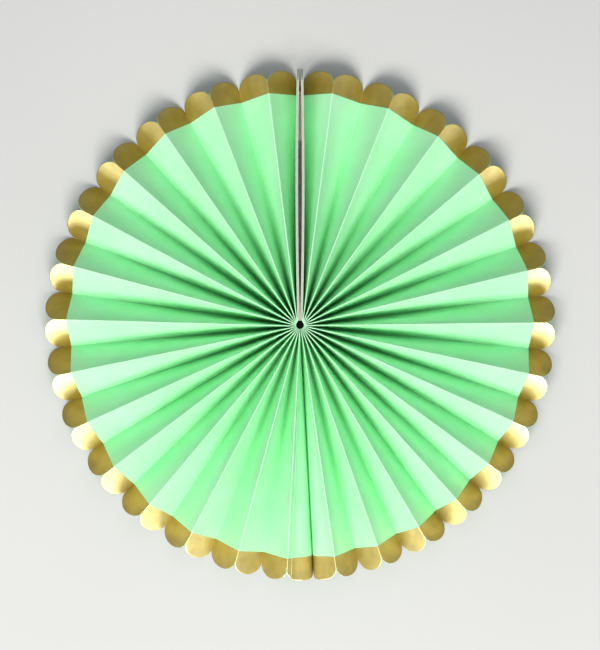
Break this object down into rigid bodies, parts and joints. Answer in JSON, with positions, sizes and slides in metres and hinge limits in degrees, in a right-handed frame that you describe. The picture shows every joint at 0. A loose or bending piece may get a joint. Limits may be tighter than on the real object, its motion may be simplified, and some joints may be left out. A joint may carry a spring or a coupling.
{
  "type": "paper fan rosette",
  "caption": "Pleated paper fan rosette opened flat into a full disc, mint green with a gold foil border on its scalloped rim, for hanging or fixing to a wall as party decoration.",
  "frame": {"origin": "centre of the hub, on the plane of the valley folds that the fan lies on", "axes": "+Z is the face of the fan, away from what it lies on. +Y points from the hub to the seam between the two end boards, at 12 o'clock. +X is the right as the face is seen."},
  "size_m": [0.2295, 0.2298, 0.0202],
  "materials": {
    "mint_paper": "matte mint green, with a border of gold foil along the scalloped rim on the front",
    "white_board": "matte white card",
    "foam_tape": "white foam with adhesive on both sides",
    "thread": "white cotton thread"
  },
  "bodies": {
    "root": {"sheet_right": "mint_paper", "sheet_left": "mint_paper", "end_board_right": "white_board", "end_board_left": "white_board", "seam_tape": "foam_tape", "centre_thread": "thread"}
  },
  "joints": []
}
